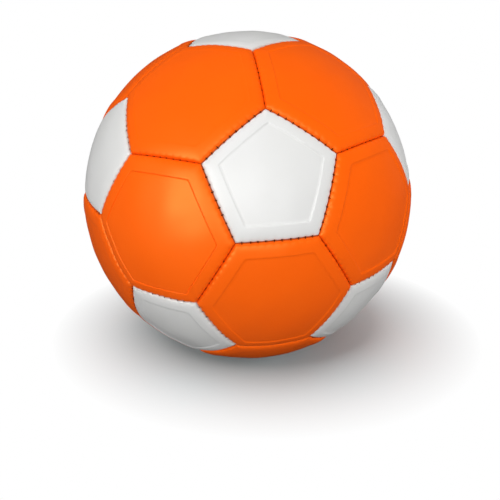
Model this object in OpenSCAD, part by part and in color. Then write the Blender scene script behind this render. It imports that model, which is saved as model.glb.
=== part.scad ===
// Stitched ball: 20 hexagon and 12 pentagon panels sewn over a rubber bladder with a needle valve.
// Millimetres. Origin at the centre of the ball, +Y out along the valve axis, +Z up as the ball lies.

/* [Ball] */
// Diameter over the raised panel borders
ball_diameter = 205; // [200:1:225]
// Turn of the panel layout about the valve axis, from +X towards +Z, in degrees
layout_turn = 86.3; // [0:0.1:120]

/* [Panels] */
// Thickness of the synthetic leather skin
skin_thickness = 1.6; // [1.2:0.1:2.5]
// Thickness of the foam behind the skin
foam_thickness = 2; // [1:0.1:4]
// Thickness of the textile lining behind the foam
lining_thickness = 0.9; // [0.5:0.1:1.5]
// Radius of the rolled panel edge
edge_radius = 2; // [1.2:0.1:2.5]
// Width of the raised border around a panel
border_width = 8; // [5:0.5:11]
// Depth of the sunk field inside the border
field_depth = 0.7; // [0.3:0.1:1]

/* [Seams] */
// Stitches along one seam
stitch_count = 10; // [6:1:10]
// Distance from stitch to stitch
stitch_pitch = 3.9; // [2.5:0.1:3.9]
// Width of the thread where it runs along a seam
thread_width = 0.8; // [0.5:0.1:1]

/* [Valve] */
// Radius of the needle passage in the valve core
needle_radius = 1; // [0.8:0.05:1.3]
// Straight length of the needle passage
needle_length = 12; // [8:1:14]
// Radius of the valve core below its head
core_radius = 2.9; // [2.5:0.1:3.2]
// Length of the valve core
core_length = 19; // [16:1:24]
// Radius of the valve housing
housing_radius = 5; // [4.8:0.1:6]
// Radius of the housing's flange on the bladder
flange_radius = 16; // [10:1:20]
// Radius of the patch behind the valve panel
patch_radius = 22; // [18:1:26]

/* [Bladder] */
// Thickness of the bladder wall
bladder_thickness = 0.9; // [0.6:0.1:1.5]

/* [Hidden] */
// Glue line between bonded layers
glue = 0.1;
// Half the gap between two panels in a seam
seam_gap = 0.05;
// The rolled edge crosses the ball and the seam face at a slight angle instead of touching them
edge_overlap = 0.08;
// Angle that a rolled edge spans about the seam's axis, past the corners at both ends
edge_span = 36;
// Room for the thread between a panel's turned-in edge and its foam
thread_channel = 1.2;
// Clearance of the thread in its needle holes and along the turned-in edges
thread_clearance = 0.1;
// How much thinner the thread is where it passes through the panels
bar_thinning = 0.05;
// Clearance of the valve core in its housing, and of the housing in the layers around it
core_clearance = 0.3;
housing_clearance = 0.2;
// Depth of the valve mouth below the sunk field
valve_sink = 0.5;
// Thickness of the core's head, and how far it stands out around the core
head_thickness = 1;
head_lip = 1;
// Depth of the funnel at the mouth of the needle passage
funnel_depth = 0.6;
// How far the core reaches out of the housing inside the ball
core_tail = 2;
flange_thickness = 1.5;
patch_thickness = 0.6;
// How far cutting shapes reach past what they cut
spare = 1;

ball_radius = ball_diameter / 2;
field_radius = ball_radius - field_depth;
skin_inside = ball_radius - skin_thickness;
foam_outside = skin_inside - glue;
foam_inside = foam_outside - foam_thickness;
lining_outside = foam_inside - glue;
lining_inside = lining_outside - lining_thickness;
patch_outside = lining_inside - glue;
patch_inside = patch_outside - patch_thickness;
bladder_outside = patch_inside - glue;
bladder_inside = bladder_outside - bladder_thickness;
flange_outside = bladder_inside - glue;
beyond = ball_radius + spare;

edge_height = seam_gap + edge_radius - edge_overlap;
edge_reach = sqrt(pow(ball_radius - edge_radius + edge_overlap, 2) - pow(edge_height, 2));
turned_in = seam_gap + skin_thickness;
stitch_radius = skin_inside - thread_width / 2 - 2 * thread_clearance;
stitch_step = stitch_pitch / stitch_radius * 180 / PI;
thread_span = ((stitch_count - 1) * stitch_pitch + thread_width) / stitch_radius * 180 / PI;
thread_run = turned_in + thread_clearance + thread_width / 2;
bar_radius = thread_width / 2 - bar_thinning;
hole_radius = bar_radius + thread_clearance;

mouth = field_radius - valve_sink;
head_radius = core_radius + head_lip;
seat = mouth - head_thickness - glue;
core_tip = mouth - core_length;
panel_hole_radius = housing_radius + housing_clearance;

orange = [0.97, 0.42, 0.09];
white = [0.93, 0.93, 0.92];
foam_grey = [0.82, 0.82, 0.8];
cloth = [0.88, 0.85, 0.76];
thread_brown = [0.16, 0.1, 0.07];
rubber_black = [0.09, 0.09, 0.1];
bladder_grey = [0.2, 0.2, 0.21];

$fa = 2;
$fs = 0.4;

// Directions of the pentagons: four rings of three about the valve axis
inner_tilt = acos(sqrt((5 + 2 * sqrt(5)) / 15));
outer_tilt = acos(sqrt((5 - 2 * sqrt(5)) / 15));
ring_tilt = [inner_tilt, outer_tilt, 180 - outer_tilt, 180 - inner_tilt];
function pentagon(i) =
    let (ring = floor(i / 3), tilt = ring_tilt[ring], turn = layout_turn + 120 * i + 60 * ring)
    [sin(tilt) * cos(turn), cos(tilt), sin(tilt) * sin(turn)];
function unit(v) = v / norm(v);
function near(i, j) = i != j && norm(pentagon(i) - pentagon(j)) < 1.2;

// Each hexagon lies between three pentagons that are near each other. The first three are around the valve.
triples = [for (i = [0:11], j = [i:11], k = [j:11]) if (near(i, j) && near(j, k) && near(i, k)) [i, j, k]];
function hexagon(t) = unit(pentagon(t[0]) + pentagon(t[1]) + pentagon(t[2]));
// The first hexagon that borders a pentagon
function hexagon_beside(i) = [for (t = triples) if (t[0] == i || t[1] == i || t[2] == i) hexagon(t)][0];

// Angle from a panel's centre to the middle of its seams, from a flat-faced ball with seams of length 1
corner_distance = sqrt(58 + 18 * sqrt(5)) / 4;
function seam_tilt(sides) =
    let (corner = 0.5 / sin(180 / sides), middle = 0.5 / tan(180 / sides))
    atan(middle / sqrt(corner_distance * corner_distance - corner * corner));

function two_digits(n) = str(n < 10 ? "0" : "", n);
function hexagon_name(h) = h == 0 ? "valve_hexagon_panel" : str("hexagon_panel_", two_digits(h));
function pentagon_name(i) = str("pentagon_panel_", two_digits(i + 1));

// Placing: a panel is drawn around +Y with the middle of its first seam towards +Z
module place(centre, towards) {
    side = unit(cross(centre, towards));
    up = cross(side, centre);
    multmatrix([
        [side[0], centre[0], up[0], 0],
        [side[1], centre[1], up[1], 0],
        [side[2], centre[2], up[2], 0]
    ]) children();
}

module place_hexagon(h) {
    place(hexagon(triples[h]), pentagon(triples[h][0])) children();
}

module place_pentagon(i) {
    place(pentagon(i), hexagon_beside(i)) children();
}

// The frame of one seam: Z along the seam plane's normal into the panel, Y to the middle of the seam
module at_seam(sides, k) {
    rotate([0, k * 360 / sides, 0]) rotate([seam_tilt(sides), 0, 0]) rotate([0, 180, 0]) children();
}

module at_seams(sides) {
    for (k = [0:sides - 1]) {
        at_seam(sides, k) children();
    }
}

module at_stitches() {
    for (s = [0:stitch_count - 1]) {
        turn = (s - (stitch_count - 1) / 2) * stitch_step;
        rotate([0, 0, turn]) translate([0, stitch_radius, 0]) children();
    }
}

module along_valve() {
    rotate([-90, 0, 0]) children();
}

// A pyramid between planes that lie inset from a panel's seam planes
module between_seams(sides, inset) {
    rise = inset / sin(seam_tilt(sides));
    spread = tan(seam_tilt(sides)) / cos(180 / sides);
    along_valve() rotate([0, 0, -90 - 180 / sides]) translate([0, 0, rise])
        cylinder(h = beyond, r1 = 0, r2 = beyond * spread, $fn = sides);
}

// The part of a spherical shell that lies at least inset from every seam plane of a panel
module patch_of_shell(sides, outside, inside, inset) {
    intersection() {
        difference() {
            sphere(outside);
            sphere(inside);
        }
        between_seams(sides, inset);
    }
}

// The corner that a panel's rolled edge leaves open along a seam
module open_corner() {
    rotate([0, 0, 90 - edge_span / 2]) rotate_extrude(angle = edge_span) {
        difference() {
            translate([edge_reach, -spare]) square([beyond - edge_reach, edge_height + spare]);
            translate([edge_reach, edge_height]) circle(edge_radius);
        }
    }
}

module panel(sides) {
    difference() {
        patch_of_shell(sides, ball_radius, lining_inside, seam_gap);
        at_seams(sides) open_corner();
        patch_of_shell(sides, skin_inside, lining_inside - spare, turned_in);
        patch_of_shell(sides, beyond, field_radius, border_width);
        at_seams(sides) at_stitches() cylinder(h = turned_in + spare, r = hole_radius);
    }
}

module valve_hole(radius) {
    along_valve() cylinder(h = beyond, r = radius);
}

module hexagon_panel(h) {
    color(orange) difference() {
        place_hexagon(h) panel(6);
        if (h == 0) valve_hole(panel_hole_radius);
    }
}

module pentagon_panel(i) {
    color(white) place_pentagon(i) panel(5);
}

module hexagon_backing(outside, inside) {
    for (h = [0:19]) {
        difference() {
            place_hexagon(h) patch_of_shell(6, outside, inside, turned_in + thread_channel);
            if (h == 0) valve_hole(panel_hole_radius + housing_clearance);
        }
    }
}

module pentagon_backing(outside, inside) {
    for (i = [0:11]) {
        place_pentagon(i) patch_of_shell(5, outside, inside, turned_in + thread_channel);
    }
}

module hexagon_foam() {
    color(foam_grey) hexagon_backing(foam_outside, foam_inside);
}

module pentagon_foam() {
    color(foam_grey) pentagon_backing(foam_outside, foam_inside);
}

module hexagon_lining() {
    color(cloth) hexagon_backing(lining_outside, lining_inside);
}

module pentagon_lining() {
    color(cloth) pentagon_backing(lining_outside, lining_inside);
}

// One seam's thread: a bar through both panels at each stitch, and a flat run along either side
module seam_thread() {
    at_stitches() translate([0, 0, -thread_run]) cylinder(h = 2 * thread_run, r = bar_radius);
    for (side = [-1, 1]) {
        translate([0, 0, side * thread_run]) rotate([0, 0, 90 - thread_span / 2])
            rotate_extrude(angle = thread_span)
            translate([stitch_radius - thread_width / 2, -thread_width / 2]) square(thread_width);
    }
}

module pentagon_seam_thread() {
    color(thread_brown) for (i = [0:11]) {
        place_pentagon(i) at_seams(5) seam_thread();
    }
}

// The seam between two hexagons lies on the line from one pentagon to the next
module hexagon_seam_thread() {
    color(thread_brown) for (i = [0:11], j = [i:11]) {
        if (near(i, j)) {
            place(unit(pentagon(i) + pentagon(j)), cross(pentagon(i), pentagon(j))) seam_thread();
        }
    }
}

module bladder() {
    color(bladder_grey) difference() {
        sphere(bladder_outside);
        sphere(bladder_inside);
        valve_hole(panel_hole_radius);
    }
}

module valve_patch() {
    color(cloth) intersection() {
        difference() {
            sphere(patch_outside);
            sphere(patch_inside);
        }
        along_valve() difference() {
            cylinder(h = beyond, r = patch_radius);
            cylinder(h = beyond, r = panel_hole_radius);
        }
    }
}

module valve_housing() {
    color(rubber_black) difference() {
        union() {
            along_valve() translate([0, 0, core_tip + core_tail])
                cylinder(h = core_length - core_tail, r = housing_radius);
            intersection() {
                difference() {
                    sphere(flange_outside);
                    sphere(flange_outside - flange_thickness);
                }
                along_valve() cylinder(h = beyond, r = flange_radius);
            }
        }
        along_valve() cylinder(h = beyond, r = core_radius + core_clearance);
        along_valve() translate([0, 0, seat]) cylinder(h = beyond, r = head_radius + core_clearance);
    }
}

module valve_core() {
    color(rubber_black) along_valve() difference() {
        union() {
            translate([0, 0, core_tip]) cylinder(h = core_length, r = core_radius);
            translate([0, 0, mouth - head_thickness]) cylinder(h = head_thickness, r = head_radius);
        }
        translate([0, 0, mouth - funnel_depth - needle_length]) cylinder(h = beyond, r = needle_radius);
        translate([0, 0, mouth - funnel_depth])
            cylinder(h = 2 * funnel_depth, r1 = needle_radius, r2 = needle_radius + 2 * funnel_depth);
    }
}

for (h = [0:19]) {
    hexagon_panel(h);
}
for (i = [0:11]) {
    pentagon_panel(i);
}
hexagon_foam();
pentagon_foam();
hexagon_lining();
pentagon_lining();
hexagon_seam_thread();
pentagon_seam_thread();
bladder();
valve_housing();
valve_patch();
valve_core();
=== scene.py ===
# Stitched ball: 20 orange and 12 white panels of synthetic leather, sewn with dark waxed thread
import math
from collections import namedtuple

import bpy
import numpy as np
from mathutils import Matrix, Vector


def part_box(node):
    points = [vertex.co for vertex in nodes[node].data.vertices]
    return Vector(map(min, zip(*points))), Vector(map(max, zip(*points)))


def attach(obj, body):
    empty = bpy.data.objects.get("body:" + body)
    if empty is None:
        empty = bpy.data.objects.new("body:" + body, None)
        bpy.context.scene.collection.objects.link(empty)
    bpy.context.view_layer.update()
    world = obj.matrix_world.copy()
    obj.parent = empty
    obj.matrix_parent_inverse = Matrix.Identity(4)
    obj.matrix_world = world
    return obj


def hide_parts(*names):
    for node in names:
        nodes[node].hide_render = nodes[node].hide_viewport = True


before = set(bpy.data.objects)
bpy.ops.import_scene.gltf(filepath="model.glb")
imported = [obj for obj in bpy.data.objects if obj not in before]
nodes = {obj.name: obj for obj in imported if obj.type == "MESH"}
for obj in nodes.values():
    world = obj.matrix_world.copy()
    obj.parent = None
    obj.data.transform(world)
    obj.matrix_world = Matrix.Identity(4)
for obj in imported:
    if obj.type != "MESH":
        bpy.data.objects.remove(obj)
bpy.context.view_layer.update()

MM = 0.001
draw = np.random.default_rng(32)

# Ball and layers, with the sizes of the frame
BALL_RADIUS = max(vertex.co.length for vertex in nodes["hexagon_panel_01"].data.vertices)
SEAM_GAP = 0.05 * MM
SKIN_THICKNESS = 1.6 * MM
FOAM_THICKNESS = 2 * MM
LINING_THICKNESS = 0.9 * MM
GLUE_LINE = 0.1 * MM
THREAD_CHANNEL = 1.2 * MM
TURNED_IN = SEAM_GAP + SKIN_THICKNESS
FOAM_OUTSIDE = SKIN_THICKNESS + GLUE_LINE
FOAM_DEPTHS = (FOAM_OUTSIDE, FOAM_OUTSIDE + FOAM_THICKNESS)
LINING_OUTSIDE = FOAM_DEPTHS[1] + GLUE_LINE
LINING_DEPTHS = (LINING_OUTSIDE, LINING_OUTSIDE + LINING_THICKNESS)
BACKING_INSET = TURNED_IN + THREAD_CHANNEL
BACKING_ROUNDING = 0.3 * MM
FLANGE_DEPTH = LINING_DEPTHS[1]
ROOF_DEPTH = SKIN_THICKNESS + GLUE_LINE / 2

# Panel layout: its turn about the valve's axis in degrees, the most that the directions of neighbouring
# pentagons differ, how alike two directions are that mean the same seam, and the panel with the valve
LAYOUT_TURN = 86.3
NEIGHBOUR_DISTANCE = 1.2
SAME_DIRECTION = 0.999
VALVE_PANEL = "valve_hexagon_panel"

# Form of a panel
ROLL_RADIUS = 1.3 * MM
SLOPE_DROP = 1.1 * MM
SLOPE_REACH = 1.8 * MM
CORNER_ROUNDING = 0.3 * MM
FIELD_INSET = 7.6 * MM
CREASE_WIDTH = 0.17 * MM
FIELD_STRAY = 0.5 * MM
PUCKER_DEPTH = 0.5 * MM
PUCKER_WIDTH = 0.8 * MM
PUCKER_REACH = 1.4 * MM
WAVE_COUNT = 14
WAVE_LENGTHS = (14 * MM, 45 * MM)
WAVE_HEIGHT = 0.03 * MM
# Depths below the ball over which the skin's colour turns into the painted shade of its seam groove
SEAM_SHADE_START = 1.5 * MM
SEAM_SHADE_END = 2.4 * MM

# The sunk field of a panel: its depth, the width of its wall and the depth of the crease in that wall
Field = namedtuple("Field", "depth wall crease")
FIELDS = {6: Field(0.35 * MM, 1.4 * MM, 0.1 * MM), 5: Field(0.45 * MM, 1.6 * MM, 0.06 * MM)}
# Panels in sight in the photograph that are pressed more or less than the others
SEEN_FIELDS = {
    "hexagon_panel_14": Field(0.6 * MM, 1.6 * MM, 0.05 * MM),
    "hexagon_panel_17": Field(0.4 * MM, 1.4 * MM, 0.08 * MM),
    "hexagon_panel_18": Field(0.12 * MM, 1.6 * MM, 0.03 * MM),
    "hexagon_panel_19": Field(0.15 * MM, 0.9 * MM, 0.45 * MM),
    "pentagon_panel_09": Field(0.15 * MM, 1.6 * MM, 0),
    "pentagon_panel_11": Field(0.55 * MM, 1.7 * MM, 0.12 * MM),
    "pentagon_panel_12": Field(0.08 * MM, 1.6 * MM, 0),
}
# How far panels of each number of sides lie below the ball's radius, and panels in sight that differ
SINKS = {6: 0, 5: 0.6 * MM}
SEEN_SINKS = {
    "hexagon_panel_04": 0.8 * MM,
    "hexagon_panel_10": 1 * MM,
    "hexagon_panel_11": 0.75 * MM,
    "hexagon_panel_12": 0.6 * MM,
    "hexagon_panel_16": 0.2 * MM,
    "pentagon_panel_06": 0.7 * MM,
    "pentagon_panel_09": 1.25 * MM,
    "pentagon_panel_12": 0.85 * MM,
}
# How far to the right and up in the photograph the field of a panel lies off its middle
SEEN_STRAYS = {
    "hexagon_panel_19": (0, -1.2 * MM),
    "pentagon_panel_11": (0.1 * MM, 0.8 * MM),
}

# Columns of points along one side of a panel, from the seam inwards, and rings of points
FINE, MIDDLE, COARSE = 96, 48, 24
FINE_INSET = 4 * MM
LAST_STEP = 2 * MM
ROLL_STEPS = 8
BORDER_STEPS = 6
FAN_STEPS = 9
HALF_FIELD_STEPS = np.array([0.09, 0.17, 0.26, 0.38, 0.55, 0.8, 1.15, 1.6, 2.2]) * MM
FIELD_STEPS = np.concatenate([-HALF_FIELD_STEPS[::-1], [0], HALF_FIELD_STEPS])

# Stitches
STITCHES = 10
STITCH_PITCH = 3.9 * MM
STITCH_STRAY = 0.4 * MM
THREAD_RADIUS = 0.2 * MM
THREAD_SIDES = 12
PENTAGON_BAR_DEPTH = 1.55 * MM
HEXAGON_BAR_DEPTH = 2.42 * MM
BAR_STRAY = 0.35 * MM
BAR_POINTS = 11
RUN_DEPTH = 2.8 * MM
RUN_INSET = 2.1 * MM
RUN_SHARES = np.array([0.2, 0.5, 0.8])
STRANDS = 3
STRAND_RELIEF = 0.12
STRAND_TWIST = 1.8 * MM

# Valve
HOUSING_RADIUS = 5 * MM
HOUSING_CLEARANCE = 0.2 * MM
HOLE_RADIUS = HOUSING_RADIUS + HOUSING_CLEARANCE
HOLE_ROUNDING = 0.5 * MM
HOLE_RINGS = 5
BACKING_HOLE_RADIUS = HOLE_RADIUS + HOUSING_CLEARANCE
CORE_RADIUS = 2.9 * MM
HEAD_THICKNESS = 1 * MM
GROOVE_RADIUS = 2.3 * MM
GROOVE_HALF_WIDTH = 0.2 * MM
GROOVE_DEPTH = 0.2 * MM
NEEDLE_RADIUS = 1 * MM
NEEDLE_LENGTH = 12 * MM
FUNNEL_DEPTH = 0.6 * MM
HOUSING_BORE = 3.2 * MM
SEAT_RADIUS = 4.2 * MM
SEAT_DEPTH = 1.1 * MM
BOND_RADIUS = 96 * MM
BOND_THICKNESS = 1.5 * MM
LATHE_SIDES = 96
CORNER_STEPS = 6
# Corners that turn by less than this angle aren't rounded
STRAIGHT_TURN = 0.02

# Photograph: a square image, the camera's direction from the ball, and where the ball's centre shows
IMAGE_PX = 500
FOCAL_PX = 522.5
BALL_PX = (247.6, 198.5)
CAMERA_AZIMUTH = 27.08
CAMERA_ELEVATION = 10.66
CAMERA_DISTANCE = 3.35 * BALL_RADIUS
SENSOR_MM = 36
CLIP_START = 0.01


# Directions of the panels

def unit(vector):
    return vector / np.linalg.norm(vector)


def pentagon_directions():
    """Four rings of three pentagons about the valve's axis, +Y."""
    inner = math.acos(math.sqrt((5 + 2 * math.sqrt(5)) / 15))
    outer = math.acos(math.sqrt((5 - 2 * math.sqrt(5)) / 15))
    tilts = (inner, outer, math.pi - outer, math.pi - inner)
    directions = []
    for i in range(12):
        ring = i // 3
        turn = math.radians(LAYOUT_TURN + 120 * i + 60 * ring)
        flat = math.sin(tilts[ring])
        directions.append(np.array([flat * math.cos(turn), math.cos(tilts[ring]), flat * math.sin(turn)]))
    return directions


def hexagon_corners(pentagons):
    """The three pentagons around each hexagon. The first hexagon has the valve."""
    near = [[0 < np.linalg.norm(a - b) < NEIGHBOUR_DISTANCE for b in pentagons] for a in pentagons]
    count = range(len(pentagons))
    return [
        (i, j, k)
        for i in count for j in count for k in count
        if i < j < k and near[i][j] and near[j][k] and near[i][k]
    ]


# From the centre to a corner of a flat-faced ball of the same layout with seams of length 1
CORNER_DISTANCE = math.sqrt(58 + 18 * math.sqrt(5)) / 4


def seam_tilt(sides):
    """Angle from a panel's centre to the middle of its seams."""
    corner = 0.5 / math.sin(math.pi / sides)
    middle = 0.5 / math.tan(math.pi / sides)
    return math.atan(middle / math.sqrt(CORNER_DISTANCE ** 2 - corner ** 2))


class Outline:
    """The seams of a panel in its own axes: X to the middle of the first seam, Z to the panel's centre."""

    def __init__(self, sides):
        turns = 2 * math.pi * np.arange(sides) / sides
        tilt = seam_tilt(sides)
        centre = np.array([0, 0, 1])
        self.sides = sides
        self.outward = np.column_stack([np.cos(turns), np.sin(turns), 0 * turns])
        self.along = np.column_stack([-np.sin(turns), np.cos(turns), 0 * turns])
        self.middle = math.sin(tilt) * self.outward + math.cos(tilt) * centre
        self.inward = math.sin(tilt) * centre - math.cos(tilt) * self.outward

    def ring(self, insets, columns):
        """Directions of the points at one distance from each seam plane, side after side."""
        rises = insets / BALL_RADIUS
        points = []
        for k, rise in enumerate(rises):
            before, after = k - 1, (k + 1) % self.sides
            first = self.end(k, rise, before, rises[before], -1)
            last = self.end(k, rise, after, rises[after], 1)
            turn = first + (last - first) * (np.arange(columns) / columns)[:, None]
            flat = math.sqrt(1 - rise * rise)
            arc = np.cos(turn) * self.middle[k] + np.sin(turn) * self.along[k]
            points.append(rise * self.inward[k] + flat * arc)
        return np.concatenate(points)

    def end(self, k, rise, other, other_rise, way):
        """The turn along side k at which its line of points meets that of a side beside it."""
        flat = math.sqrt(1 - rise * rise)
        level = flat * (self.middle[k] @ self.inward[other])
        slope = flat * (self.along[k] @ self.inward[other])
        left = other_rise - rise * (self.inward[k] @ self.inward[other])
        return math.atan2(slope, level) + way * math.acos(left / math.hypot(level, slope))


OUTLINES = {6: Outline(6), 5: Outline(5)}


class Seam:
    """One of the 90 seams, with the places of its stitches along it."""

    def __init__(self, middle, inward, along):
        self.middle = middle
        self.inward = inward
        self.along = along
        self.sides = set()
        self.sinks = []
        even = (np.arange(STITCHES) - (STITCHES - 1) / 2) * STITCH_PITCH
        self.places = even + draw.uniform(-STITCH_STRAY, STITCH_STRAY, STITCHES)
        self.bar_strays = draw.uniform(-BAR_STRAY, BAR_STRAY, STITCHES)

    def directions(self):
        turn = (self.places / BALL_RADIUS)[:, None]
        return np.cos(turn) * self.middle + np.sin(turn) * self.along

    def bar_depths(self):
        """How deep each stitch lies where it crosses the seam, deeper between panels that lie low."""
        level = PENTAGON_BAR_DEPTH if 5 in self.sides else HEXAGON_BAR_DEPTH
        return level + np.mean(self.sinks) + self.bar_strays


class Panel:
    """A panel's name, outline, axes on the ball, seams and sunk field."""

    def __init__(self, node, sides, centre, towards, seams):
        up = unit(towards - (towards @ centre) * centre)
        self.node = node
        self.outline = OUTLINES[sides]
        self.axes = np.column_stack([up, np.cross(centre, up), centre])
        self.sink = SEEN_SINKS.get(node, SINKS[sides])
        self.seams = [self.shared_seam(k, seams) for k in range(sides)]
        self.field = SEEN_FIELDS.get(node, FIELDS[sides])
        self.stray = draw.uniform(-FIELD_STRAY, FIELD_STRAY, 2)
        if node in SEEN_STRAYS:
            self.stray = self.axes[:, :2].T @ sight_axes()[:, :2] @ SEEN_STRAYS[node]

    def shared_seam(self, k, seams):
        middle = self.axes @ self.outline.middle[k]
        found = [seam for seam in seams if seam.middle @ middle > SAME_DIRECTION]
        if not found:
            found = [Seam(middle, self.axes @ self.outline.inward[k], self.axes @ self.outline.along[k])]
            seams += found
        found[0].sides.add(self.outline.sides)
        found[0].sinks.append(self.sink)
        return found[0]


def lay_out():
    pentagons = pentagon_directions()
    corners = hexagon_corners(pentagons)
    hexagons = [unit(sum(pentagons[i] for i in three)) for three in corners]
    seams = []
    panels = []
    for h, three in enumerate(corners):
        node = f"hexagon_panel_{h:02d}" if h else VALVE_PANEL
        panels.append(Panel(node, 6, hexagons[h], pentagons[three[0]], seams))
    for i, centre in enumerate(pentagons):
        beside = next(h for h, three in enumerate(corners) if i in three)
        panels.append(Panel(f"pentagon_panel_{i + 1:02d}", 5, centre, hexagons[beside], seams))
    return panels, seams


# Meshes made of rings of points

def bridge(a, count_a, b, count_b):
    """Faces between two rings of points, from index a and b on. One may have twice the other's points."""
    if 1 in (count_a, count_b):
        j = np.arange(max(count_a, count_b))
        after = (j + 1) % len(j)
        if count_a == 1:
            return [(a, b + n, b + i) for i, n in zip(j, after)]
        return [(a + i, a + n, b) for i, n in zip(j, after)]
    j = np.arange(min(count_a, count_b))
    after = (j + 1) % len(j)
    if count_a == count_b:
        return np.column_stack([a + j, a + after, b + after, b + j]).tolist()
    if count_a > count_b:
        first, half, last = a + 2 * j, a + 2 * j + 1, a + 2 * after
        fans = [(first, half, b + j), (half, b + after, b + j), (half, last, b + after)]
    else:
        first, half, last = b + 2 * j, b + 2 * j + 1, b + 2 * after
        fans = [(a + j, half, first), (a + j, a + after, half), (a + after, last, half)]
    return np.concatenate([np.column_stack(fan) for fan in fans]).tolist()


def bridge_all(counts, closed=False):
    starts = np.concatenate([[0], np.cumsum(counts)[:-1]])
    rings = list(zip(starts.tolist(), counts))
    pairs = list(zip(rings, rings[1:]))
    if closed:
        pairs.append((rings[-1], rings[0]))
    return [face for first, second in pairs for face in bridge(*first, *second)]


def towards_centre(ring, share, end):
    """A ring of directions moved by a share of the way to an angle from the panel's axis."""
    angle = np.arccos(ring[:, 2]) * (1 - share) + end * share
    flat = ring[:, :2] / np.linalg.norm(ring[:, :2], axis=1)[:, None]
    return np.column_stack([flat * np.sin(angle)[:, None], np.cos(angle)])


class Patch:
    """A closed piece between the seams of a panel. Its rings run from the middle of the inside over the edge
    to the middle of the outside, or from the wall of a round hole back to it. A profile is a list of rings,
    each (distance from every seam plane, depth below the ball, points a side)."""

    def __init__(self, outline, profile, skin_from, hole=()):
        even = np.zeros(outline.sides)
        rings = [outline.ring(insets + even, columns) for insets, depth, columns in profile]
        depths = [depth for insets, depth, columns in profile]
        shares = np.arange(1, FAN_STEPS + 1) / FAN_STEPS
        if hole:
            inside = [towards_centre(rings[0], share, hole[-1]) for share in shares]
            outside = [towards_centre(rings[-1], share, hole[0]) for share in shares]
            outside += [towards_centre(rings[-1], 1, angle) for angle in hole[1:]]
        else:
            centre = [np.array([[0, 0, 1.0]])]
            inside = [towards_centre(rings[0], share, 0) for share in shares[:-1]] + centre
            outside = [towards_centre(rings[-1], share, 0) for share in shares[:-1]] + centre
        every = inside[::-1] + rings + outside
        depths = [depths[0]] * len(inside) + depths + [depths[-1]] * len(outside)
        counts = [len(ring) for ring in every]
        self.directions = np.concatenate(every)
        self.depth = np.repeat(depths, counts)
        self.skin = np.repeat(np.arange(len(every)) >= len(inside) + skin_from, counts)
        self.faces = bridge_all(counts, closed=bool(hole))


def make_mesh(name, points, faces, **values):
    """A smooth mesh object. Each of values is a number for every point, for the material to read."""
    mesh = bpy.data.meshes.new(name)
    mesh.from_pydata(points.tolist(), [], faces)
    mesh.polygons.foreach_set("use_smooth", np.ones(len(mesh.polygons), bool))
    for key, numbers in values.items():
        mesh.attributes.new(key, "FLOAT", "POINT").data.foreach_set("value", numbers.astype(np.float32))
    piece = bpy.data.objects.new(name, mesh)
    bpy.context.scene.collection.objects.link(piece)
    return piece


def fit_out(piece, material, slot, body, *replaced):
    piece.data.materials.append(material)
    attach(piece, body)
    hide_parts(*replaced)


def joined(parts):
    """Points and faces of several (points, faces) parts as one."""
    points = []
    faces = []
    start = 0
    for part_points, part_faces in parts:
        points.append(part_points)
        faces += [[start + i for i in face] for face in part_faces]
        start += len(part_points)
    return np.concatenate(points), faces


# Panels

def skin_profile(panel):
    """From the inside of the skin down the turned-in edge, up the seam face, over the rolled edge and the
    border to the field. The rings of the border come to follow the edge of the field."""
    profile = [
        (TURNED_IN, ROOF_DEPTH, COARSE),
        (TURNED_IN, FLANGE_DEPTH, COARSE),
        ((TURNED_IN + SEAM_GAP) / 2, FLANGE_DEPTH, MIDDLE),
        (SEAM_GAP, FLANGE_DEPTH, FINE),
    ]
    for turn in np.linspace(math.pi / 2, 0, ROLL_STEPS + 1):
        inset = SEAM_GAP + ROLL_RADIUS * (1 - math.sin(turn))
        profile.append((inset, ROLL_RADIUS * (1 - math.cos(turn)), FINE))
    edge = FIELD_INSET - panel.outline.outward[:, :2] @ panel.stray
    start = SEAM_GAP + ROLL_RADIUS
    for share in np.arange(1, BORDER_STEPS) / BORDER_STEPS:
        insets = start + share * (edge + FIELD_STEPS[0] - start)
        profile.append((insets, 0, FINE if insets.min() < FINE_INSET else MIDDLE))
    profile += [(edge + step, 0, MIDDLE) for step in FIELD_STEPS]
    profile.append((edge + FIELD_STEPS[-1] + LAST_STEP, 0, COARSE))
    return profile


# Rings of that profile before the rolled edge, where the skin in sight starts
SKIN_FROM = 4
HOLE_RIM = tuple(
    math.asin((HOLE_RADIUS + HOLE_ROUNDING * (1 - math.sin(turn))) / BALL_RADIUS)
    for turn in np.linspace(0, math.pi / 2, HOLE_RINGS)
)
WAVE_VECTORS = draw.normal(size=(WAVE_COUNT, 3))
WAVE_VECTORS /= np.linalg.norm(WAVE_VECTORS, axis=1)[:, None]
WAVE_VECTORS *= 2 * math.pi / np.geomspace(*WAVE_LENGTHS, WAVE_COUNT)[:, None]
WAVE_STARTS = draw.uniform(0, 2 * math.pi, WAVE_COUNT)


def smooth_step(value, width):
    """From 0 to 1 over a width centred on value 0."""
    share = np.clip(value / width + 0.5, 0, 1)
    return share * share * (3 - 2 * share)


def rounded_inset(insets):
    """Distance from the nearest seam plane, rounded where two seams meet."""
    nearest = insets.min(axis=1)
    others = np.exp((nearest[:, None] - insets) / CORNER_ROUNDING).sum(axis=1)
    return nearest - CORNER_ROUNDING * np.log(others)


def edge_drop(panel, directions):
    """How far the skin lies below the ball, falls towards the seams and is pulled in by the stitches."""
    outline = panel.outline
    insets = BALL_RADIUS * directions @ outline.inward.T
    slope = SLOPE_DROP * np.exp(-np.maximum(rounded_inset(insets), 0) / SLOPE_REACH)
    drop = panel.sink + slope
    for k, seam in enumerate(panel.seams):
        along = np.arctan2(directions @ outline.along[k], directions @ outline.middle[k])
        pull = np.exp(-(insets[:, k] / PUCKER_REACH) ** 2)
        for stitch in seam.directions() @ panel.axes:
            place = math.atan2(stitch @ outline.along[k], stitch @ outline.middle[k])
            drop += PUCKER_DEPTH * pull * np.exp(-((along - place) * BALL_RADIUS / PUCKER_WIDTH) ** 2)
    return drop


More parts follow.
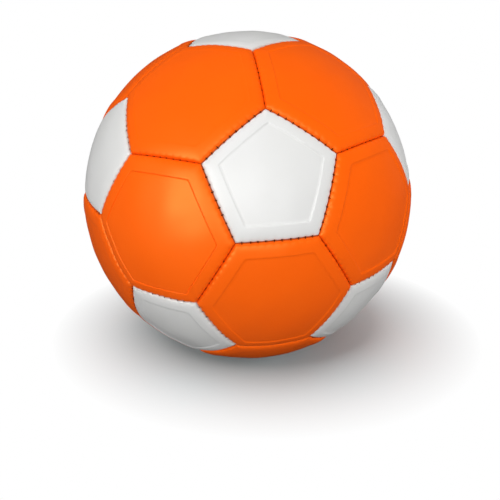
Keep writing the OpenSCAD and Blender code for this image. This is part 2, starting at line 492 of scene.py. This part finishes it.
def field_drop(panel, directions):
    """How far the skin is sunk inside its border, with a crease along the border."""
    outline = panel.outline
    insets = BALL_RADIUS * directions @ outline.inward.T + outline.outward[:, :2] @ panel.stray
    past = rounded_inset(insets) - FIELD_INSET
    step = panel.field.depth * smooth_step(past, panel.field.wall)
    return step + panel.field.crease * np.exp(-(past / CREASE_WIDTH) ** 2)


def waves(panel, directions):
    """Slow unevenness of the blown-up skin."""
    places = BALL_RADIUS * directions @ panel.axes.T
    return WAVE_HEIGHT * np.sin(places @ WAVE_VECTORS.T + WAVE_STARTS).sum(axis=1)


def hole_drop(directions):
    """The rounded edge of the valve hole."""
    across = BALL_RADIUS * np.sqrt(1 - directions[:, 2] ** 2)
    left = np.clip((HOLE_RADIUS + HOLE_ROUNDING - across) / HOLE_ROUNDING, 0, 1)
    return HOLE_ROUNDING * (1 - np.sqrt(1 - left ** 2))


def make_panel(panel, material, slot):
    has_valve = panel.node == VALVE_PANEL
    patch = Patch(panel.outline, skin_profile(panel), SKIN_FROM, HOLE_RIM if has_valve else ())
    directions = patch.directions
    edge = np.where(patch.skin, edge_drop(panel, directions), 0)
    drop = patch.depth + edge
    # Painted shade: the skin's colour darkens where it drops deep into the seam groove
    valley = np.clip((drop - SEAM_SHADE_START) / (SEAM_SHADE_END - SEAM_SHADE_START), 0, 1)
    field = field_drop(panel, directions) + waves(panel, directions)
    if has_valve:
        field += hole_drop(directions)
    drop += np.where(patch.skin, field, 0)
    points = (BALL_RADIUS - drop)[:, None] * directions @ panel.axes.T
    piece = make_mesh(panel.node + "_skin", points, patch.faces, valley=valley)
    fit_out(piece, material, slot, "ball", panel.node)


# Foam and lining behind the panels

def backing_profile(outside, inside):
    edge = BACKING_INSET + BACKING_ROUNDING
    return [
        (edge, inside, COARSE),
        (BACKING_INSET, inside - BACKING_ROUNDING, COARSE),
        (BACKING_INSET, outside + BACKING_ROUNDING, COARSE),
        (edge, outside, COARSE),
    ]


def make_backings(name, node, sides, depths, panels, material, slot):
    hole = (math.asin(BACKING_HOLE_RADIUS / BALL_RADIUS),)
    parts = []
    for panel in panels:
        if panel.outline.sides == sides:
            opening = hole if panel.node == VALVE_PANEL else ()
            patch = Patch(panel.outline, backing_profile(*depths), 0, opening)
            points = (BALL_RADIUS - patch.depth)[:, None] * patch.directions @ panel.axes.T
            parts.append((points, patch.faces))
    piece = make_mesh(name, *joined(parts))
    fit_out(piece, material, slot, "ball", node)
    return piece


# Thread

def thread_path(seam):
    """Points of one seam's thread, in turn across the seam and along one side of it."""
    along, across, depth = [], [], []
    sweep = np.linspace(-1, 1, BAR_POINTS)
    for s, (place, top) in enumerate(zip(seam.places, seam.bar_depths())):
        side = 1 if s % 2 else -1
        along += [place] * len(sweep)
        across += list(side * sweep * RUN_INSET)
        depth += list(top + (RUN_DEPTH - top) * sweep ** 2)
        if s + 1 < len(seam.places):
            run = place + (seam.places[s + 1] - place) * RUN_SHARES
            along += list(run)
            across += [side * RUN_INSET] * len(run)
            depth += [RUN_DEPTH] * len(run)
    turn = np.array(along)[:, None] / BALL_RADIUS
    radius = BALL_RADIUS - np.array(depth)[:, None]
    return np.array(across)[:, None] * seam.inward + radius * (
        np.cos(turn) * seam.middle + np.sin(turn) * seam.along)


def twisted_tube(path):
    """A thread of twisted strands along a path on the ball."""
    ahead = np.gradient(path, axis=0)
    ahead /= np.linalg.norm(ahead, axis=1)[:, None]
    out = path / np.linalg.norm(path, axis=1)[:, None]
    side = np.cross(ahead, out)
    side /= np.linalg.norm(side, axis=1)[:, None]
    out = np.cross(side, ahead)
    steps = np.linalg.norm(np.diff(path, axis=0), axis=1)
    length = np.concatenate([[0], np.cumsum(steps)])[:, None]
    around = 2 * math.pi * np.arange(THREAD_SIDES) / THREAD_SIDES
    strand = np.cos(STRANDS * around - 2 * math.pi * length / STRAND_TWIST)
    radius = THREAD_RADIUS * (1 + STRAND_RELIEF * strand)[:, :, None]
    turned = np.cos(around)[None, :, None] * side[:, None] - np.sin(around)[None, :, None] * out[:, None]
    points = (path[:, None] + radius * turned).reshape(-1, 3)
    faces = bridge_all([THREAD_SIDES] * len(path))
    first = list(range(THREAD_SIDES))
    last = [len(points) - THREAD_SIDES + i for i in first]
    return points, faces + [first[::-1], last]


def make_thread(name, node, seams, material):
    piece = make_mesh(name, *joined([twisted_tube(thread_path(seam)) for seam in seams]))
    fit_out(piece, material, "thread", "ball", node)


# Valve, turned about +Y

# A corner of a turned outline: its distance from the axis, its height and the radius that rounds it
Corner = namedtuple("Corner", "radius height rounding", defaults=(0,))


def rounded_corner(before, corner, after, radius):
    """The arc that rounds a corner of an outline."""
    to_before, to_after = unit(before - corner), unit(after - corner)
    half = math.acos(np.clip(to_before @ to_after, -1, 1)) / 2
    if radius == 0 or abs(math.pi - 2 * half) < STRAIGHT_TURN:
        return [corner]
    centre = corner + unit(to_before + to_after) * radius / math.sin(half)
    start = corner + to_before * radius / math.tan(half) - centre
    end = corner + to_after * radius / math.tan(half) - centre
    turns = np.linspace(0, 1, CORNER_STEPS + 1)
    span = math.pi - 2 * half
    return [
        centre + (math.sin((1 - t) * span) * start + math.sin(t * span) * end) / math.sin(span)
        for t in turns
    ]


def lathe_ring(radius, height):
    """Points around +Y, or one point on it."""
    if radius > 0:
        turn = 2 * math.pi * np.arange(LATHE_SIDES) / LATHE_SIDES
        return np.column_stack([radius * np.sin(turn), 0 * turn + height, radius * np.cos(turn)])
    return np.array([[0, height, 0]])


def lathe(name, corners, closed):
    """A piece turned about +Y from the corners of its outline. Not closed, it ends on the axis."""
    flat = [np.array([corner.radius, corner.height]) for corner in corners]
    line = []
    for i, corner in enumerate(corners):
        before, after = flat[i - 1], flat[(i + 1) % len(flat)]
        line += rounded_corner(before, flat[i], after, corner.rounding)
    rings = [lathe_ring(*point) for point in line]
    return make_mesh(name, np.concatenate(rings), bridge_all([len(ring) for ring in rings], closed))


def make_core(material):
    low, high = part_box("valve_core")
    head, mouth, tip = high.x, high.y, low.y
    passage = mouth - FUNNEL_DEPTH - NEEDLE_LENGTH
    piece = lathe("valve_core_plug", [
        Corner(0, tip),
        Corner(CORE_RADIUS, tip, rounding=1.2 * MM),
        Corner(CORE_RADIUS, mouth - HEAD_THICKNESS, rounding=0.15 * MM),
        Corner(head, mouth - HEAD_THICKNESS, rounding=0.3 * MM),
        Corner(head, mouth, rounding=0.35 * MM),
        Corner(GROOVE_RADIUS + GROOVE_HALF_WIDTH, mouth, rounding=0.15 * MM),
        Corner(GROOVE_RADIUS, mouth - GROOVE_DEPTH, rounding=0.1 * MM),
        Corner(GROOVE_RADIUS - GROOVE_HALF_WIDTH, mouth, rounding=0.15 * MM),
        Corner(NEEDLE_RADIUS + FUNNEL_DEPTH, mouth, rounding=0.2 * MM),
        Corner(NEEDLE_RADIUS, mouth - FUNNEL_DEPTH, rounding=0.3 * MM),
        Corner(NEEDLE_RADIUS, passage, rounding=0.2 * MM),
        Corner(0, passage),
    ], closed=False)
    fit_out(piece, material, "valve_rubber", "core", "valve_core")


def make_housing(material):
    low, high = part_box("valve_housing")
    mouth = high.y
    bond = high.x
    middle = (HOUSING_RADIUS + bond) / 2
    inside = BOND_RADIUS - BOND_THICKNESS

    def dome(radius, across):
        return math.sqrt(radius ** 2 - across ** 2)

    piece = lathe("valve_housing_tube", [
        Corner(HOUSING_BORE, low.y, rounding=0.3 * MM),
        Corner(HOUSING_RADIUS, low.y, rounding=0.5 * MM),
        Corner(HOUSING_RADIUS, dome(inside, HOUSING_RADIUS), rounding=0.8 * MM),
        Corner(middle, dome(inside, middle)),
        Corner(bond, dome(inside, bond), rounding=0.5 * MM),
        Corner(bond, dome(BOND_RADIUS, bond), rounding=0.5 * MM),
        Corner(middle, dome(BOND_RADIUS, middle)),
        Corner(HOUSING_RADIUS, dome(BOND_RADIUS, HOUSING_RADIUS), rounding=0.2 * MM),
        Corner(HOUSING_RADIUS, mouth, rounding=0.35 * MM),
        Corner(SEAT_RADIUS, mouth, rounding=0.25 * MM),
        Corner(SEAT_RADIUS, mouth - SEAT_DEPTH, rounding=0.1 * MM),
        Corner(HOUSING_BORE, mouth - SEAT_DEPTH, rounding=0.1 * MM),
    ], closed=True)
    fit_out(piece, material, "valve_rubber", "ball", "valve_housing")


# Materials

# Colours as sRGB levels: the two that a surface changes between, and for leather the painted shade of its
# seam grooves
ORANGE_LEATHER = ((254, 98, 8), (252, 95, 6), (225, 85, 10))
WHITE_LEATHER = ((222, 222, 221), (219, 219, 217), (190, 150, 120))
THREAD_BROWN = ((34, 12, 8), (52, 20, 12))
VALVE_BLACK = ((30, 30, 32), (44, 44, 46))
BLADDER_BLACK = ((52, 52, 54), (64, 64, 66))
FOAM_GREY = ((222, 221, 214), (190, 189, 182))
LINING_CLOTH = ((196, 188, 166), (232, 226, 208))
# Tints of the leather's highlights
ORANGE_TINT = (1, 0.75, 0.2, 1)
WHITE_TINT = (1, 1, 1, 1)
VALLEY_ROUGHNESS = 0.8
YARN_WIDTH = 0.9 * MM
# Where most values of a noise texture lie
NOISE_LOW, NOISE_HIGH = 0.3, 0.7


def linear(colour):
    """An sRGB colour of 0 to 255 as the shader's linear one."""
    shares = [channel / 255 for channel in colour]
    return [c / 12.92 if c <= 0.04045 else ((c + 0.055) / 1.055) ** 2.4 for c in shares] + [1]


class Finish:
    """A material and short calls that add nodes to it."""

    def __init__(self, name):
        self.material = bpy.data.materials.new(name)
        self.material.use_nodes = True
        self.tree = self.material.node_tree
        self.surface = self.tree.nodes["Principled BSDF"]
        self.places = self.add("TexCoord").outputs["Object"]

    def add(self, kind, inputs=(), **settings):
        node = self.tree.nodes.new("ShaderNode" + kind)
        for key, value in settings.items():
            setattr(node, key, value)
        for key, value in dict(inputs).items():
            self.set(node, key, value)
        return node

    def set(self, node, key, value):
        if isinstance(value, bpy.types.NodeSocket):
            self.tree.links.new(value, node.inputs[key])
        else:
            node.inputs[key].default_value = value

    def noise(self, size, detail=2):
        inputs = {"Vector": self.places, "Scale": 1 / size, "Detail": detail}
        return self.add("TexNoise", inputs).outputs["Fac"]

    def cells(self, size):
        return self.add("TexVoronoi", {"Vector": self.places, "Scale": 1 / size}).outputs["Distance"]

    def value(self, key):
        return self.add("Attribute", attribute_name=key).outputs["Fac"]

    def maths(self, operation, a, b):
        return self.add("Math", {0: a, 1: b}, operation=operation).outputs[0]

    def spread(self, value, low=0, high=1):
        """A noise value spread from low to high."""
        inputs = {
            "Value": value,
            "From Min": NOISE_LOW,
            "From Max": NOISE_HIGH,
            "To Min": low,
            "To Max": high,
        }
        return self.add("MapRange", inputs).outputs["Result"]

    def away(self, place, start, end):
        """From 0 to 1 over distances from a place."""
        distance = self.add("VectorMath", {0: self.places, 1: place}, operation="DISTANCE").outputs["Value"]
        inputs = {"Value": distance, "From Min": start, "From Max": end}
        return self.add("MapRange", inputs).outputs["Result"]

    def mix(self, share, first, second):
        node = self.add("Mix", data_type="RGBA")
        for key, value in {"Factor_Float": share, "A_Color": first, "B_Color": second}.items():
            socket = next(s for s in node.inputs if s.identifier == key)
            if isinstance(value, bpy.types.NodeSocket):
                self.tree.links.new(value, socket)
            else:
                socket.default_value = value
        return next(s for s in node.outputs if s.identifier == "Result_Color")

    def bump(self, height, depth, strength):
        inputs = {"Height": height, "Distance": depth, "Strength": strength}
        self.set(self.surface, "Normal", self.add("Bump", inputs).outputs["Normal"])

    def finish(self, colour, roughness, **constants):
        self.set(self.surface, "Base Color", colour)
        self.set(self.surface, "Roughness", roughness)
        for key, value in constants.items():
            self.set(self.surface, key.replace("_", " "), value)
        return self.material


def leather(name, colours, tint):
    """Coated synthetic leather: slow colour change, fine pores, and painted shade where the skin drops into
    the seam groove, which is rougher there too.
    """
    light, dark, seam_shade_colour = map(linear, colours)
    finish = Finish(name)
    patches = finish.spread(finish.noise(size=35 * MM, detail=3))
    colour = finish.mix(patches, light, dark)
    # Painted shade in the seam groove, where the skin drops deep; the groove is also rougher
    valley = finish.value("valley")
    colour = finish.mix(valley, colour, seam_shade_colour)
    roughness = finish.spread(finish.noise(size=6 * MM, detail=4), low=0.37, high=0.43)
    pores = finish.cells(size=0.9 * MM)
    grain = finish.maths("ADD", pores, finish.noise(size=0.4 * MM, detail=3))
    finish.bump(grain, depth=0.03 * MM, strength=0.35)
    dull = finish.maths("MULTIPLY", valley, VALLEY_ROUGHNESS)
    roughness = finish.maths("MAXIMUM", roughness, dull)
    return finish.finish(colour, roughness, Specular_Tint=tint, Specular_IOR_Level=1.0)


def waxed_thread():
    finish = Finish("waxed_thread")
    fibres = finish.spread(finish.noise(size=0.3 * MM, detail=3))
    colour = finish.mix(fibres, *map(linear, THREAD_BROWN))
    finish.bump(fibres, depth=0.05 * MM, strength=0.6)
    return finish.finish(colour, finish.spread(fibres, low=0.7, high=0.85), Specular_IOR_Level=0.2)


def rubber(name, colours):
    finish = Finish(name)
    dust = finish.spread(finish.noise(size=4 * MM, detail=4))
    colour = finish.mix(dust, *map(linear, colours))
    finish.bump(finish.noise(size=0.25 * MM), depth=0.02 * MM, strength=0.5)
    return finish.finish(colour, finish.spread(dust, low=0.5, high=0.66))


def foam():
    finish = Finish("foam")
    cells = finish.cells(size=0.6 * MM)
    colour = finish.mix(cells, *map(linear, FOAM_GREY))
    finish.bump(cells, depth=0.15 * MM, strength=0.8)
    return finish.finish(colour, finish.spread(cells, low=0.85, high=0.95))


def lining():
    finish = Finish("lining")
    inputs = {"Vector": finish.places, "Scale": 1 / (2 * math.pi * YARN_WIDTH)}
    weave = [finish.add("TexWave", inputs, bands_direction=axis).outputs["Fac"] for axis in "XYZ"]
    crossed = finish.maths("MAXIMUM", finish.maths("MAXIMUM", weave[0], weave[1]), weave[2])
    colour = finish.mix(crossed, *map(linear, LINING_CLOTH))
    finish.bump(crossed, depth=0.1 * MM, strength=0.8)
    return finish.finish(colour, finish.spread(crossed, low=0.8, high=0.9))


def dress(node, material):
    """The material of a CAD node that is carried over."""
    nodes[node].data.materials.clear()
    nodes[node].data.materials.append(material)


# Floor, light and camera

# How much of the white surroundings shows in the gloss of the ball, and how much light the world and the
# floor scatter onto it
REFLECTED_SHARE = 0.03
WORLD_LEVEL = 0.13
FLOOR_LEVEL = 0.2
# The floor: half its width; its grey, which paints a shadow around the ball's real one; its cooler grey
# right below the orange ball, a painted tint that cancels the orange light that the ball throws there; and
# the distances from the ball's centre over which that tint turns into the grey
FLOOR_HALF = 3
SHADOW_PATCH_GREY = (0.64, 0.64, 0.64, 1)
COOL_BOUNCE_TINT = (0.46, 0.61, 0.64, 1)
COOL_TINT_REACH = (0.103, 0.15)
# The middle of the painted shadow around the ball's real one on the floor, and the distances from it over
# which the floor turns white
SHADOW_MIDDLE = (-0.01, 0.05, -BALL_RADIUS)
SHADOW_REACH = (0.083, 0.16)


def sight_axes():
    """Right, up and back as the camera's line of sight to the ball's centre sees them."""
    azimuth, elevation = math.radians(CAMERA_AZIMUTH), math.radians(CAMERA_ELEVATION)
    right = np.array([math.cos(azimuth), math.sin(azimuth), 0])
    flat = math.cos(elevation)
    back = np.array([math.sin(azimuth) * flat, -math.cos(azimuth) * flat, math.sin(elevation)])
    return np.column_stack([right, np.cross(back, right), back])


def make_camera():
    middle = IMAGE_PX / 2
    ray = unit(np.array([(BALL_PX[0] - middle) / FOCAL_PX, (middle - BALL_PX[1]) / FOCAL_PX, -1]))
    right = unit(np.cross([0, 1, 0], -ray))
    turn = sight_axes() @ np.array([right, np.cross(-ray, right), -ray])
    lens = bpy.data.cameras.new("camera")
    lens.sensor_width = SENSOR_MM
    lens.lens = FOCAL_PX / IMAGE_PX * SENSOR_MM
    lens.clip_start = CLIP_START
    camera = bpy.data.objects.new("camera", lens)
    camera.matrix_world = Matrix.LocRotScale(CAMERA_DISTANCE * sight_axes()[:, 2], Matrix(turn), None)
    bpy.context.scene.collection.objects.link(camera)
    bpy.context.scene.camera = camera


def make_lamp(name, direction, distance, size, level, gloss=True):
    """A soft lamp of a width and height, aimed at the ball. A surface that faces it is lit at that level.
    Without gloss it makes no highlight."""
    place = sight_axes() @ unit(np.array(direction)) * distance
    light = bpy.data.lights.new(name, "AREA")
    light.shape = "RECTANGLE"
    light.size, light.size_y = size
    light.energy = level * math.pi ** 2 * distance ** 2
    lamp = bpy.data.objects.new(name, light)
    back = unit(place)
    side = unit(np.cross([0, 0, 1], back))
    lamp.matrix_world = Matrix.LocRotScale(
        place, Matrix(np.column_stack([side, np.cross(back, side), back])), None)
    lamp.visible_glossy = gloss
    light.cycles.use_multiple_importance_sampling = gloss
    bpy.context.scene.collection.objects.link(lamp)


def seen_share(tree, scattered):
    """1 where the camera sees a surface itself or through glass, less in reflected and scattered light."""
    path = tree.nodes.new("ShaderNodeLightPath")
    most = path.outputs["Is Camera Ray"]
    shares = {"Is Transmission Ray": 1, "Is Glossy Ray": REFLECTED_SHARE, "Is Diffuse Ray": scattered}
    for name, share in shares.items():
        part = tree.nodes.new("ShaderNodeMath")
        part.operation = "MULTIPLY"
        part.inputs[1].default_value = share
        tree.links.new(path.outputs[name], part.inputs[0])
        larger = tree.nodes.new("ShaderNodeMath")
        larger.operation = "MAXIMUM"
        tree.links.new(most, larger.inputs[0])
        tree.links.new(part.outputs[0], larger.inputs[1])
        most = larger.outputs[0]
    return most


def make_world(level):
    world = bpy.data.worlds.new("studio")
    world.use_nodes = True
    tree = world.node_tree
    background = tree.nodes["Background"]
    background.inputs["Color"].default_value = (1, 1, 1, 1)
    tree.links.new(seen_share(tree, level), background.inputs["Strength"])
    bpy.context.scene.world = world


def floor_material():
    """A painted grey shadow around the ball's real one, a painted cooler tint right below the orange ball
    that cancels its orange light, and white further off.
    """
    finish = Finish("floor")
    # Painted tint: cooler right below the ball, cancelling the orange light it throws onto the floor
    below = finish.away((0, 0, 0), *COOL_TINT_REACH)
    colour = finish.mix(below, COOL_BOUNCE_TINT, SHADOW_PATCH_GREY)
    shadowed = finish.add("BsdfDiffuse", {"Color": colour}).outputs[0]
    white = finish.add("Emission", {"Strength": 1}).outputs[0]
    unseen = finish.add("BsdfDiffuse", {"Color": (0, 0, 0, 1)}).outputs[0]
    # Painted shadow: the grey floor shows around the shadow's middle and turns into the white emission
    # further off
    far = finish.away(SHADOW_MIDDLE, *SHADOW_REACH)
    shown = finish.add("MixShader", {0: far, 1: shadowed, 2: white}).outputs[0]
    seen = seen_share(finish.tree, FLOOR_LEVEL)
    mixed = finish.add("MixShader", {0: seen, 1: unseen, 2: shown}).outputs[0]
    finish.set(finish.tree.nodes["Material Output"], "Surface", mixed)
    return finish.material


def make_floor(half):
    flat = [(-half, -half), (half, -half), (half, half), (-half, half)]
    corners = np.array([(x, y, -BALL_RADIUS) for x, y in flat])
    floor = make_mesh("floor", corners, [(0, 1, 2, 3)])
    floor.data.materials.append(floor_material())


# The ball

panels, seams = lay_out()
orange = leather("orange_leather", ORANGE_LEATHER, ORANGE_TINT)
white = leather("white_leather", WHITE_LEATHER, WHITE_TINT)
SKINS = {6: (orange, "orange_skin"), 5: (white, "white_skin")}
for panel in panels:
    make_panel(panel, *SKINS[panel.outline.sides])

foam_material, lining_material = foam(), lining()
for sides, shape in {6: "hexagon", 5: "pentagon"}.items():
    pads = make_backings(
        shape + "_foam_pads", shape + "_foam", sides, FOAM_DEPTHS, panels, foam_material, "foam")
    make_backings(
        shape + "_lining_sheets", shape + "_lining", sides, LINING_DEPTHS, panels, lining_material, "lining")

thread = waxed_thread()
make_thread("pentagon_stitches", "pentagon_seam_thread", [s for s in seams if 5 in s.sides], thread)
make_thread("hexagon_stitches", "hexagon_seam_thread", [s for s in seams if 5 not in s.sides], thread)

black = rubber("valve_rubber", VALVE_BLACK)
make_core(black)
make_housing(black)
dress("bladder", rubber("bladder_rubber", BLADDER_BLACK))
dress("valve_patch", lining_material)

# Studio: the lamps' directions are right, up and back as the camera sees them
make_floor(FLOOR_HALF)
make_world(WORLD_LEVEL)
make_lamp("left_softbox", (-0.61, -0.14, 0.79), distance=0.8, size=(0.3, 0.7), level=0.6)
make_lamp("left_high_fill", (-0.75, 0.55, 0.35), distance=1, size=(0.8, 0.8), level=0.31, gloss=False)
make_lamp("front_fill", (0, 0, 1), distance=1, size=(0.6, 0.6), level=0.28)
make_lamp("right_fill", (0.65, 0, 0.75), distance=1, size=(0.8, 0.8), level=0.53, gloss=False)
make_lamp("right_rim", (0.97, 0.05, -0.2), distance=1, size=(0.6, 0.6), level=0.46, gloss=False)
make_lamp("right_sheen", (0.66, 0.45, -0.5), distance=1, size=(1, 1), level=0.015)
make_lamp("ceiling", (0.1, 0.95, 0.3), distance=1, size=(1, 1), level=0.4, gloss=False)
make_camera()
bpy.context.scene.view_settings.view_transform = "Standard"
